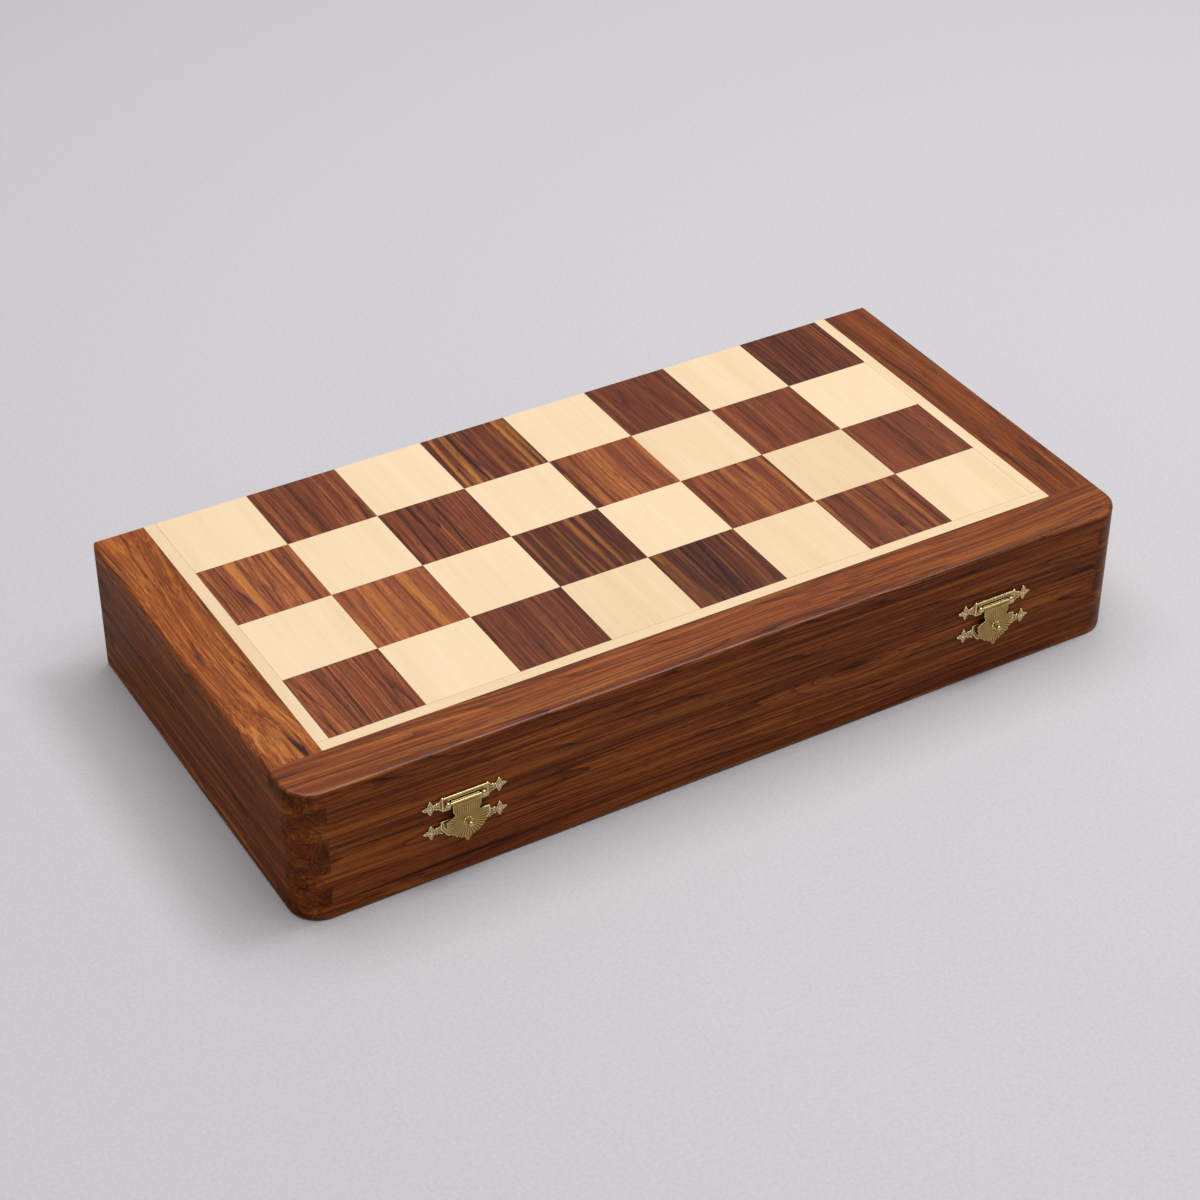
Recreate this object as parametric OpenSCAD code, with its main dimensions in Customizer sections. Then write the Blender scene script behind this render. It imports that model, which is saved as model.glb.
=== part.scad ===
// Folding chessboard box: two hinged wooden trays that close to a flat box
// and open flat to a full board, with two brass clasps on the front.
// The origin is the centre of the closed box's footprint, +Z is up, the clasps
// face -Y and the hinges are at +Y.

/* [Playing board] */
// Side of one square
square = 38; // [30:0.5:50]
// Width of the pale strip round the squares
strip_w = 5; // [3:0.5:8]
// Width of the dark rail round the strips
rail_w = 21; // [16:0.5:30]
// Thickness of the squares and the strips
square_t = 3; // [2:0.25:4]
// Thickness of the panel that the squares are glued to
core_t = 3.5; // [2.5:0.25:6]
// Glue line between neighbouring pieces of the board
glue_gap = 0.1; // [0.05:0.05:0.2]

/* [Case] */
// Height of the closed box
closed_h = 57; // [50:1:90]
// Thickness of the walls
wall_t = 12; // [10:0.5:15]
// Radius of the upright corners at the front
corner_r = 12; // [4:0.5:16]
// Radius of the upright corners at the hinge side
back_corner_r = 1.5; // [0.5:0.25:3]
// Radius of the long edges of the board faces
arris_r = 1.4; // [0.6:0.1:2.5]
// Radius of the edges that meet at the split
rim_r = 0.4; // [0.2:0.1:1]
// Number of fingers in each corner joint of a tray
fingers = 3; // [3, 5, 7]
// Thickness of the cloth on the tray floor
lining_t = 0.8; // [0.5:0.1:2]

/* [Clearances] */
// Gap between the rims of the closed box
split_gap = 0.15; // [0.1:0.05:0.4]
// Gap between the back faces of the open box
back_gap = 0.3; // [0.2:0.05:0.6]
// Radial clearance of a pin in its knuckle
pin_clearance = 0.05; // [0.02:0.01:0.1]
// Clearance between pieces that turn past each other
swing_gap = 0.3; // [0.2:0.05:0.5]
// Clearance of a nail or a screw in its hole
fastener_clearance = 0.05; // [0.02:0.01:0.1]
// Clearance round the cloth lining and the let-in hinge leaves
edge_clearance = 0.1; // [0.05:0.05:0.3]

/* [Hinges] */
// Centre of each hinge, from the end of the box
hinge_inset = 60; // [35:1:90]
// Length of a hinge
hinge_l = 32; // [28:1:45]
// Width of a hinge leaf, from the pin's axis to its free edge
hinge_leaf_w = 10; // [9:0.5:10.5]
// Thickness of a hinge leaf
hinge_leaf_t = 1.2; // [1.1:0.1:1.4]
// Outer radius of the hinge barrel
barrel_r = 2; // [1.8:0.1:2.4]
// Radius of the hinge pin
hinge_pin_r = 1; // [0.8:0.1:1.2]
// Length of the middle knuckle
middle_knuckle_l = 10.4; // [8:0.4:14]
// Distance between the two screws of a leaf
screw_span = 20; // [18:0.5:22]
// Distance of the screws from the pin's axis
screw_reach = 6.2; // [5.5:0.1:6.5]
// Radius of a hinge screw's head
screw_head_r = 2.1; // [1.8:0.1:2.1]
// Radius of a hinge screw's shank
screw_shank_r = 1.1; // [1.1:0.1:1.4]
// Length of a hinge screw
screw_l = 10; // [8:0.5:14]

/* [Clasps] */
// Centre of the left clasp, from the left end of the box
left_clasp_inset = 64.4; // [45:0.2:90]
// Centre of the right clasp, from the right end of the box
right_clasp_inset = 61.4; // [45:0.2:90]
// Distance between the two nails of a plate
nail_span = 27.4; // [26:0.2:30]
// Thickness of the ornate plates
plate_t = 0.9; // [0.6:0.1:1.1]
// Reach of the plates' pointed ends from the nail
end_reach = 2.6; // [2.2:0.1:3.4]
// Width of the clasp plate's raised middle
case_w = 18.6; // [17.4:0.2:20]
// Height of the clasp plate's raised middle
case_h = 6; // [5.6:0.2:7]
// Height of the raised middle off the wood
case_t = 1.2; // [1.1:0.1:1.4]
// Centre of the clasp plate above the split
plate_rise = 5.5; // [5:0.1:6.5]
// Centre of the strike plate below the split
strike_drop = 5.4; // [4.4:0.2:6.4]
// Width of the strike plate's middle
strike_w = 19.4; // [17:0.2:20]
// Height of the strike plate's middle
strike_h = 6.8; // [5:0.2:7]
// Top edge of the strike plate above its nails
strike_top = 3.1; // [2.6:0.1:3.5]
// Height of the pivot's axis above the split
pivot_rise = 5.3; // [4.8:0.1:6]
// Distance of the pivot's axis from the wood
pivot_proud = 1.7; // [1.6:0.1:2]
// Radius of the pivot pin
pivot_pin_r = 0.5; // [0.4:0.05:0.6]
// Radius of the hasp's rolled top
roll_r = 1; // [0.9:0.05:1.2]
// Width of the hasp's rolled top
roll_w = 11.2; // [10:0.2:12]
// Radius of the ball-shaped ends that hold the pin
ball_r = 1.15; // [1:0.05:1.3]
// Open slot left above the rolled top
slot_h = 0.5; // [0.3:0.1:0.8]
// Thickness of the hasp
hasp_t = 0.7; // [0.5:0.05:0.8]
// Width of the hasp at its neck
hasp_neck_w = 9.4; // [8:0.2:10]
// Width of the hasp at its wings
hasp_wing_w = 16.6; // [15:0.2:18]
// Length of the hasp, from the pivot to its point
hasp_l = 18.4; // [17.8:0.2:19.6]
// Distance of the hasp's widest place from the pivot
shell_reach = 8.3; // [7.8:0.1:8.8]
// Distance of the knob from the pivot
knob_reach = 9.2; // [8.6:0.1:9.8]
// Radius of the knob
knob_r = 1.1; // [0.9:0.05:1.3]
// Height of the knob off the hasp
knob_h = 3.3; // [2.8:0.1:3.6]
// Radius of a nail's head
nail_head_r = 0.85; // [0.75:0.05:1]
// Radius of a nail's shank
nail_r = 0.45; // [0.35:0.05:0.5]
// Length of a nail
nail_l = 7; // [5:0.5:9]

/* [Hidden] */
$fn = 48;
columns = 8;
rows = 4;
over = 1; // how far a cutter runs past the face that it cuts
hole_spare = 0.5; // how much deeper a blind hole is than what sits in it

body_l = columns * square + 2 * (strip_w + rail_w);
body_w = rows * square + strip_w + rail_w;
board_t = square_t + core_t;
front_y = -body_w / 2;
back_y = body_w / 2;
end_x = body_l / 2;
split_z = closed_h / 2;
rim_z = split_z - split_gap / 2;
wall_h = rim_z - board_t;
finger_h = wall_h / fingers;

// Hinge line
axis_y = back_y + back_gap / 2;
hinge_x = end_x - hinge_inset;
leaf_z = rim_z - hinge_leaf_t;
screw_head_h = screw_head_r - screw_shank_r;

// Clasps, in a frame on the front face: x along the box, y up from the split, z off the wood
clasp_left_x = -end_x + left_clasp_inset;
clasp_right_x = end_x - right_clasp_inset;
roll_step = 0.1; // how far the rolled top stands in front of the flat hasp
hasp_front = pivot_proud + roll_r - roll_step;
hasp_back = hasp_front - hasp_t;
window_w = roll_w + 2 * swing_gap;
ball_x = window_w / 2 + ball_r;
pin_seat = ball_r * 0.8; // depth of the pin's end in its ball
knob_y = pivot_rise - knob_reach;
shell_y = pivot_rise - shell_reach;
knob_neck_r = knob_r * 0.75;
stud_r = 1;
stud_tip_r = 0.8;
stud_stem_r = 0.7;
stud_stem_l = 3.5;
nail_head_h = 0.5;
end_arm = 0.75; // half width of the pointed ends' arms where they leave the middle disc
end_disc_r = 1.5;
end_bead_r = 0.6;
end_tip_r = 0.7;
collar_r = 1.2;
neck_w = 1.7;

rosewood = "#6b3a22";
dark_rosewood = "#54301f";
maple = "#ecd6a8";
brass = "#cbb57c";
baize = "#2f5f42";
ply = "#c9a878";

// The lid is the base tray turned over about the split
module as_lid() {
    translate([0, 0, closed_h]) mirror([0, 0, 1]) children();
}

// Draws its child as it is, and again mirrored to the other end of the box
module both_ends() {
    for (s = [0, 1]) mirror([s, 0, 0]) children();
}

// Rounding waste as a flat outline: the sharp edge is at the origin, the wood lies at +x, +y
module edge_waste(r) {
    difference() {
        translate([-over, -over]) square(r + over);
        translate([r, r]) circle(r);
    }
}

// Rounding waste along the front and the ends at z = 0, with the wood above it
module outline_waste(r) {
    translate([-end_x + corner_r, front_y, 0]) rotate([90, 0, 90])
        linear_extrude(body_l - 2 * corner_r) edge_waste(r);
    both_ends() {
        translate([-end_x, back_y + over, 0]) rotate([90, 0, 0])
            linear_extrude(body_w + over - corner_r) edge_waste(r);
        translate([-end_x + corner_r, front_y + corner_r, 0]) rotate([0, 0, 180])
            rotate_extrude(angle = 90) translate([corner_r, 0]) mirror([1, 0]) edge_waste(r);
    }
}

// All that is rounded off the outside of one tray
module tray_waste() {
    both_ends() {
        translate([-end_x, front_y, -over]) linear_extrude(rim_z + 2 * over) edge_waste(corner_r);
        translate([-end_x, back_y, -over]) mirror([0, 1, 0])
            linear_extrude(rim_z + 2 * over) edge_waste(back_corner_r);
    }
    outline_waste(arris_r);
    translate([0, 0, rim_z]) mirror([0, 0, 1]) outline_waste(rim_r);
}

// Notches at both ends of a long wall, where the end walls' fingers go through
module long_wall_notches(y) {
    both_ends() for (k = [0 : 2 : fingers - 1]) {
        under = k == 0 ? over : 0; // the first and the last notch run past the wall's edges
        above = k == fingers - 1 ? over : 0;
        translate([-end_x - over, y - over, board_t + k * finger_h - under])
            cube([wall_t + over, wall_t + 2 * over, under + finger_h + above]);
    }
}

// Front wall, with the clasps' nail holes at the given distance from the split,
// and a hole for the strike stud between them if asked
module front_wall(nail_drop, with_stud) {
    difference() {
        translate([-end_x, front_y, board_t]) cube([body_l, wall_t, wall_h]);
        long_wall_notches(front_y);
        tray_waste();
        for (x = [clasp_left_x, clasp_right_x]) {
            for (s = [-1, 1]) translate([x + s * nail_span / 2, front_y - over, split_z - nail_drop])
                rotate([-90, 0, 0])
                    cylinder(r = nail_r + fastener_clearance, h = over + nail_l + hole_spare);
            if (with_stud) translate([x, front_y - over, split_z - nail_drop])
                rotate([-90, 0, 0])
                    cylinder(r = stud_stem_r + fastener_clearance, h = over + stud_stem_l + hole_spare);
        }
    }
}

// Back wall, with the recesses for the hinge leaves, their barrels and their screws
module back_wall() {
    difference() {
        translate([-end_x, back_y - wall_t, board_t]) cube([body_l, wall_t, wall_h]);
        long_wall_notches(back_y - wall_t);
        tray_waste();
        for (x = [-hinge_x, hinge_x]) {
            translate([x - hinge_l / 2 - edge_clearance, axis_y - hinge_leaf_w - edge_clearance, leaf_z])
                cube([hinge_l + 2 * edge_clearance, hinge_leaf_w + wall_t, hinge_leaf_t + over]);
            translate([x - hinge_l / 2 - edge_clearance, axis_y, split_z]) rotate([0, 90, 0])
                cylinder(r = barrel_r + swing_gap, h = hinge_l + 2 * edge_clearance);
            for (s = [-1, 1])
                translate([x + s * screw_span / 2, axis_y - screw_reach, rim_z - screw_l - hole_spare])
                    cylinder(r = screw_shank_r + fastener_clearance, h = hole_spare + screw_l + over);
        }
    }
}

// End wall on the left, whose outer fingers reach the front and the back face
module end_wall() {
    difference() {
        translate([-end_x, front_y, board_t]) cube([wall_t, body_w, wall_h]);
        for (k = [1 : 2 : fingers - 1], y = [front_y - over, back_y - wall_t])
            translate([-end_x - over, y, board_t + k * finger_h])
                cube([wall_t + 2 * over, wall_t + over, finger_h]);
        tray_waste();
    }
}

// Border rail along the front, full length
module front_rail() {
    difference() {
        translate([-end_x, front_y, 0]) cube([body_l, rail_w, board_t]);
        tray_waste();
    }
}

// Border rail on the left, butted against the front rail
module end_rail() {
    difference() {
        translate([-end_x, front_y + rail_w, 0]) cube([rail_w, body_w - rail_w, board_t]);
        tray_waste();
    }
}

// Panel inside the rails, behind the squares and the strips
module core_panel() {
    translate([-end_x + rail_w, front_y + rail_w, square_t])
        cube([body_l - 2 * rail_w, body_w - rail_w, core_t]);
}

// One colour of squares: the colour that has the given parity in the back left corner
module squares(parity) {
    for (i = [0 : columns - 1], j = [0 : rows - 1])
        if ((i + j) % 2 == parity)
            translate([(i - columns / 2) * square + glue_gap / 2,
                       back_y - (j + 1) * square + glue_gap / 2, 0])
                cube([square - glue_gap, square - glue_gap, square_t]);
}

// Pale strip along the front, full length between the end rails
module front_strip() {
    translate([-end_x + rail_w + glue_gap / 2, front_y + rail_w + glue_gap / 2, 0])
        cube([body_l - 2 * rail_w - glue_gap, strip_w - glue_gap, square_t]);
}

// Pale strip on the left, butted against the front strip
module end_strip() {
    translate([-end_x + rail_w + glue_gap / 2, front_y + rail_w + strip_w + glue_gap / 2, 0])
        cube([strip_w - glue_gap, rows * square - glue_gap, square_t]);
}

// Cloth on the tray floor
module lining() {
    translate([-end_x + wall_t + edge_clearance, front_y + wall_t + edge_clearance, board_t])
        cube([body_l - 2 * (wall_t + edge_clearance), body_w - 2 * (wall_t + edge_clearance), lining_t]);
}

// A round bar along the hinge line, from x0 to x1
module hinge_bar(x0, x1, r) {
    translate([x0, axis_y, split_z]) rotate([0, 90, 0]) cylinder(r = r, h = x1 - x0);
}

// Hinge leaf for the base tray, centred at x. An outer leaf has the two end knuckles.
module hinge_leaf(x, outer) {
    end = hinge_l / 2;
    mid = middle_knuckle_l / 2;
    own = outer ? [[-end, -mid - swing_gap], [mid + swing_gap, end]] : [[-mid, mid]];
    other = outer ? [[-mid - swing_gap, mid + swing_gap]] : [[-end - over, -mid], [mid, end + over]];
    difference() {
        union() {
            translate([x - end, axis_y - hinge_leaf_w, leaf_z])
                cube([hinge_l, hinge_leaf_w, hinge_leaf_t]);
            for (k = own) hinge_bar(x + k[0], x + k[1], barrel_r);
        }
        for (k = other) hinge_bar(x + k[0], x + k[1], barrel_r + swing_gap);
        hinge_bar(x - end - over, x + end + over, hinge_pin_r + pin_clearance);
        for (s = [-1, 1]) translate([x + s * screw_span / 2, axis_y - screw_reach, rim_z]) {
            translate([0, 0, -hinge_leaf_t - over])
                cylinder(r = screw_shank_r + fastener_clearance, h = hinge_leaf_t + 2 * over);
            translate([0, 0, -screw_head_h])
                cylinder(r1 = screw_shank_r + fastener_clearance, r2 = screw_head_r + fastener_clearance,
                         h = screw_head_h);
        }
    }
}

// Pin of one hinge, a little shorter than the barrel
module hinge_pin(x) {
    hinge_bar(x - hinge_l / 2 + edge_clearance, x + hinge_l / 2 - edge_clearance, hinge_pin_r);
}

// The countersunk screws of the two hinges, in one tray
module hinge_screws() {
    slot_w = 0.5;
    slot_d = 0.4;
    point_h = 1.5;
    point_r = 0.2;
    for (x = [-hinge_x, hinge_x], s = [-1, 1])
        translate([x + s * screw_span / 2, axis_y - screw_reach, rim_z]) difference() {
            rotate_extrude()
                polygon([[0, -screw_l], [point_r, -screw_l], [screw_shank_r, point_h - screw_l],
                         [screw_shank_r, -screw_head_h], [screw_head_r, 0], [0, 0]]);
            translate([-screw_head_r - over, -slot_w / 2, -slot_d])
                cube([2 * (screw_head_r + over), slot_w, slot_d + over]);
        }
}

// Frame of a clasp on the front face: x along the box, y up from the split, z off the wood
module on_front(x) {
    translate([x, front_y, split_z]) rotate([90, 0, 0]) children();
}

// The two pointed ends of a plate, each round its nail, and the necks that join them to the middle
module plate_ends(middle_w) {
    for (s = [0, 1]) mirror([s, 0]) {
        translate([nail_span / 2, 0]) {
            circle(end_disc_r);
            polygon([[-end_reach, 0], [-end_arm, end_arm], [0, end_reach], [end_arm, end_arm],
                     [end_reach, 0], [end_arm, -end_arm], [0, -end_reach], [-end_arm, -end_arm]]);
            translate([0, end_reach]) circle(end_bead_r);
            translate([0, -end_reach]) circle(end_bead_r);
            translate([end_reach - end_bead_r / 2, 0]) circle(end_tip_r);
        }
        translate([middle_w / 2 + collar_r / 2, 0]) circle(collar_r);
        translate([middle_w / 2 - over, -neck_w / 2])
            square([nail_span / 2 - middle_w / 2 + over, neck_w]);
    }
}

// The two nail holes of a plate
module plate_holes() {
    for (s = [-1, 1]) translate([s * nail_span / 2, 0, -over])
        cylinder(r = nail_r + fastener_clearance, h = plate_t + 2 * over);
}

// Raised middle of the clasp plate: a bar with sloping sides and ends
module clasp_case() {
    slope = 0.5;
    intersection() {
        rotate([90, 0, 90]) translate([0, 0, -case_w / 2]) linear_extrude(case_w)
            polygon([[-case_h / 2, 0], [case_h / 2, 0], [case_h / 2, case_t - slope],
                     [case_h / 2 - slope, case_t], [slope - case_h / 2, case_t],
                     [-case_h / 2, case_t - slope]]);
        rotate([90, 0, 0]) translate([0, 0, -case_h / 2]) linear_extrude(case_h)
            polygon([[-case_w / 2, 0], [case_w / 2, 0], [case_w / 2, case_t - slope],
                     [case_w / 2 - slope, case_t], [slope - case_w / 2, case_t],
                     [-case_w / 2, case_t - slope]]);
    }
}

// A bar along the pivot line, from x0 to x1 in the clasp's frame
module pivot_bar(x0, x1, r) {
    translate([x0, pivot_rise, pivot_proud]) rotate([0, 90, 0]) cylinder(r = r, h = x1 - x0);
}

// Clasp plate on the lid, with the two balls that hold the pin
module clasp_plate(x) {
    window_low = pivot_rise - roll_r - swing_gap;
    window_high = pivot_rise + roll_r + slot_h;
    on_front(x) difference() {
        union() {
            translate([0, plate_rise, 0]) linear_extrude(plate_t) plate_ends(case_w);
            translate([0, plate_rise, 0]) clasp_case();
            for (s = [-1, 1]) translate([s * ball_x, pivot_rise, pivot_proud]) sphere(ball_r);
        }
        translate([-window_w / 2, window_low, -over])
            cube([window_w, window_high - window_low, case_t + 2 * over]);
        translate([0, plate_rise, 0]) plate_holes();
        pivot_bar(-window_w / 2 - pin_seat, window_w / 2 + pin_seat, pivot_pin_r + pin_clearance);
    }
}

// Pivot pin, from ball to ball through the hasp's rolled top
module clasp_pin(x) {
    reach = window_w / 2 + pin_seat - pin_clearance;
    on_front(x) pivot_bar(-reach, reach, pivot_pin_r);
}

// Outline of the flat hasp: a tab, a neck, and a scalloped shell that ends in a point
module hasp_outline() {
    tab_l = 3.6; // length of the straight tab under the pivot
    taper_l = 2; // length over which the tab narrows to the neck
    tab_y = pivot_rise - tab_l;
    neck_y = tab_y - taper_l;
    wing_top = 0.9; // height of the wings above the shell's centre
    wing_lap = 0.25; // how far the wings run into the shell
    lobe_r = 1.2;
    lobes = 5;
    tip_r = 0.95;
    shell_r = hasp_wing_w / 2 - lobe_r;
    tip_y = pivot_rise - hasp_l + tip_r - shell_y;
    polygon([[-roll_w / 2, pivot_rise], [-roll_w / 2, tab_y], [-hasp_neck_w / 2, neck_y],
             [-hasp_wing_w / 2, shell_y + wing_top], [-hasp_wing_w / 2, shell_y - wing_lap],
             [hasp_wing_w / 2, shell_y - wing_lap], [hasp_wing_w / 2, shell_y + wing_top],
             [hasp_neck_w / 2, neck_y], [roll_w / 2, tab_y], [roll_w / 2, pivot_rise]]);
    translate([0, shell_y]) {
        difference() {
            circle(shell_r);
            translate([-hasp_wing_w, 0]) square([2 * hasp_wing_w, hasp_wing_w]);
        }
        for (k = [0 : lobes - 1], s = [0, 1]) mirror([s, 0])
            rotate(-(k + 0.5) * 90 / (lobes + 0.5)) translate([shell_r, 0]) circle(lobe_r);
        polygon([[-2 * lobe_r, -shell_r + lobe_r], [2 * lobe_r, -shell_r + lobe_r],
                 [tip_r, tip_y], [-tip_r, tip_y]]);
        translate([0, tip_y]) circle(tip_r);
    }
}

// Hasp, hanging from its pin, with the knob that the fingers lift
module hasp(x) {
    root_z = hasp_back + hasp_t / 2; // the knob's neck starts inside the flat hasp
    ball_z = hasp_front + knob_h - knob_r;
    on_front(x) difference() {
        union() {
            translate([0, 0, hasp_back]) linear_extrude(hasp_t) hasp_outline();
            pivot_bar(-roll_w / 2, roll_w / 2, roll_r);
            translate([0, knob_y, root_z]) cylinder(r = knob_neck_r, h = ball_z - root_z);
            translate([0, knob_y, ball_z]) sphere(knob_r);
        }
        pivot_bar(-roll_w / 2 - over, roll_w / 2 + over, pivot_pin_r + pin_clearance);
    }
}

// Strike plate on the base, a shield with the same pointed ends
module strike_plate(x) {
    shoulder = 0.2;
    taper = 2.8; // how much narrower the shield is at its foot, on each side
    on_front(x) translate([0, -strike_drop, 0]) difference() {
        union() {
            linear_extrude(plate_t) plate_ends(strike_w);
            linear_extrude(plate_t)
                polygon([[-strike_w / 2, 0], [shoulder - strike_w / 2, strike_top],
                         [strike_w / 2 - shoulder, strike_top], [strike_w / 2, 0],
                         [strike_w / 2 - taper, strike_top - strike_h],
                         [taper - strike_w / 2, strike_top - strike_h]]);
        }
        plate_holes();
        translate([0, 0, -over]) cylinder(r = stud_stem_r + fastener_clearance, h = plate_t + 2 * over);
    }
}

// Riveted stud behind the hasp: its head stops just short of the hasp
module strike_stud(x) {
    tip_z = hasp_back - swing_gap;
    on_front(x) translate([0, -strike_drop, 0]) rotate_extrude()
        polygon([[0, -stud_stem_l], [stud_stem_r, -stud_stem_l], [stud_stem_r, plate_t],
                 [stud_r, plate_t], [stud_tip_r, tip_z], [0, tip_z]]);
}

// The nails of both clasps in one tray, at the given height over the split
module clasp_nails(y) {
    dome_r = (nail_head_r * nail_head_r + nail_head_h * nail_head_h) / (2 * nail_head_h);
    for (x = [clasp_left_x, clasp_right_x], s = [-1, 1])
        on_front(x) translate([s * nail_span / 2, y, plate_t]) {
            intersection() {
                translate([0, 0, nail_head_h - dome_r]) sphere(dome_r);
                cylinder(r = 2 * nail_head_r, h = 2 * nail_head_h);
            }
            translate([0, 0, -nail_l]) cylinder(r = nail_r, h = nail_l + nail_head_h / 2);
        }
}

// Base tray
module base_front_wall() { color(rosewood) front_wall(strike_drop, true); }
module base_back_wall() { color(rosewood) back_wall(); }
module base_left_wall() { color(rosewood) end_wall(); }
module base_right_wall() { color(rosewood) mirror([1, 0, 0]) end_wall(); }
module base_front_rail() { color(rosewood) front_rail(); }
module base_left_rail() { color(rosewood) end_rail(); }
module base_right_rail() { color(rosewood) mirror([1, 0, 0]) end_rail(); }
module base_core_panel() { color(ply) core_panel(); }
module base_dark_squares() { color(dark_rosewood) squares(0); }
module base_light_squares() { color(maple) squares(1); }
module base_front_strip() { color(maple) front_strip(); }
module base_left_strip() { color(maple) end_strip(); }
module base_right_strip() { color(maple) mirror([1, 0, 0]) end_strip(); }
module base_lining() { color(baize) lining(); }

// Lid tray
module lid_front_wall() { color(rosewood) as_lid() front_wall(plate_rise, false); }
module lid_back_wall() { color(rosewood) as_lid() back_wall(); }
module lid_left_wall() { color(rosewood) as_lid() end_wall(); }
module lid_right_wall() { color(rosewood) as_lid() mirror([1, 0, 0]) end_wall(); }
module lid_front_rail() { color(rosewood) as_lid() front_rail(); }
module lid_left_rail() { color(rosewood) as_lid() end_rail(); }
module lid_right_rail() { color(rosewood) as_lid() mirror([1, 0, 0]) end_rail(); }
module lid_core_panel() { color(ply) as_lid() core_panel(); }
module lid_dark_squares() { color(dark_rosewood) as_lid() squares(1); }
module lid_light_squares() { color(maple) as_lid() squares(0); }
module lid_front_strip() { color(maple) as_lid() front_strip(); }
module lid_left_strip() { color(maple) as_lid() end_strip(); }
module lid_right_strip() { color(maple) as_lid() mirror([1, 0, 0]) end_strip(); }
module lid_lining() { color(baize) as_lid() lining(); }

// Hinges
module left_hinge_base_leaf() { color(brass) hinge_leaf(-hinge_x, true); }
module left_hinge_lid_leaf() { color(brass) as_lid() hinge_leaf(-hinge_x, false); }
module left_hinge_pin() { color(brass) hinge_pin(-hinge_x); }
module right_hinge_base_leaf() { color(brass) hinge_leaf(hinge_x, true); }
module right_hinge_lid_leaf() { color(brass) as_lid() hinge_leaf(hinge_x, false); }
module right_hinge_pin() { color(brass) hinge_pin(hinge_x); }
module base_hinge_screws() { color(brass) hinge_screws(); }
module lid_hinge_screws() { color(brass) as_lid() hinge_screws(); }

// Clasps
module left_clasp_plate() { color(brass) clasp_plate(clasp_left_x); }
module left_clasp_pin() { color(brass) clasp_pin(clasp_left_x); }
module left_hasp() { color(brass) hasp(clasp_left_x); }
module left_strike_plate() { color(brass) strike_plate(clasp_left_x); }
module left_strike_stud() { color(brass) strike_stud(clasp_left_x); }
module right_clasp_plate() { color(brass) clasp_plate(clasp_right_x); }
module right_clasp_pin() { color(brass) clasp_pin(clasp_right_x); }
module right_hasp() { color(brass) hasp(clasp_right_x); }
module right_strike_plate() { color(brass) strike_plate(clasp_right_x); }
module right_strike_stud() { color(brass) strike_stud(clasp_right_x); }
module lid_clasp_nails() { color(brass) clasp_nails(plate_rise); }
module base_clasp_nails() { color(brass) clasp_nails(-strike_drop); }

base_front_wall();
base_back_wall();
base_left_wall();
base_right_wall();
base_front_rail();
base_left_rail();
base_right_rail();
base_core_panel();
base_dark_squares();
base_light_squares();
base_front_strip();
base_left_strip();
base_right_strip();
base_lining();
lid_front_wall();
lid_back_wall();
lid_left_wall();
lid_right_wall();
lid_front_rail();
lid_left_rail();
lid_right_rail();
lid_core_panel();
lid_dark_squares();
lid_light_squares();
lid_front_strip();
lid_left_strip();
lid_right_strip();
lid_lining();
left_hinge_base_leaf();
left_hinge_lid_leaf();
left_hinge_pin();
right_hinge_base_leaf();
right_hinge_lid_leaf();
right_hinge_pin();
base_hinge_screws();
lid_hinge_screws();
left_clasp_plate();
left_clasp_pin();
left_hasp();
left_strike_plate();
left_strike_stud();
right_clasp_plate();
right_clasp_pin();
right_hasp();
right_strike_plate();
right_strike_stud();
lid_clasp_nails();
base_clasp_nails();
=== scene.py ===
# %% [markdown]
# # A folding chessboard box in rosewood and maple
# The box is two shallow trays hinged at the back. Each tray carries half of the board on its
# outside, so the closed box shows 8 x 4 squares. The CAD frame already holds every wooden
# piece at its real size. This lesson gives those pieces their wood, casts the ornate brass
# clasps, lays the cloth in the trays, and sets the light and the camera.

# %% Load the frame
import math

import bmesh
import bpy
import numpy as np
from mathutils import Matrix, Vector, noise


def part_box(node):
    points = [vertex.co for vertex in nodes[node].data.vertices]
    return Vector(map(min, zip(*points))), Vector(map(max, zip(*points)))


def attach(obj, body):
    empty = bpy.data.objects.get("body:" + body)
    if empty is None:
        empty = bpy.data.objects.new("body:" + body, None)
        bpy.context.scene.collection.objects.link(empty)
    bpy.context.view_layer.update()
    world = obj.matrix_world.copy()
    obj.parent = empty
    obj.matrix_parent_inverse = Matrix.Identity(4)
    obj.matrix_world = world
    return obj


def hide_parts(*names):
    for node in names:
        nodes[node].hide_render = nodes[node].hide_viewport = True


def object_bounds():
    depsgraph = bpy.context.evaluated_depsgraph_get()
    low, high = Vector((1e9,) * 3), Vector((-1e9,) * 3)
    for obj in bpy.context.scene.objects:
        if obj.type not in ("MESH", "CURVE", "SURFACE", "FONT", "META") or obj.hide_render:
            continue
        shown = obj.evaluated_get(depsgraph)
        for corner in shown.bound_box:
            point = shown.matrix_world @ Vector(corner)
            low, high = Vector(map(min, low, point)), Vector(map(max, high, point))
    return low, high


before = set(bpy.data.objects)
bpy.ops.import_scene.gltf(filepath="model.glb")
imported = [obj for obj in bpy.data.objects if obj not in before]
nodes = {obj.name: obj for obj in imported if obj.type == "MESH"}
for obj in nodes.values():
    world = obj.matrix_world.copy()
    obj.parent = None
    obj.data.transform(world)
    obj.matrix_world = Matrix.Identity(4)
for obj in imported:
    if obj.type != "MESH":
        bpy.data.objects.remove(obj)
cad_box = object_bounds()

# %% [markdown]
# ## Real sizes
# Blender works in metres and the maker's sizes are in millimetres, so one factor turns the
# one into the other. The few sizes that the finishes need are read from the CAD pieces. Only
# the clasps' own sizes stand further down, beside the code that casts them.

# %% Read the sizes from the frame
MM = 0.001
COLUMNS, ROWS = 8, 4
GLUE_GAP = 0.1 * MM

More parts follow.
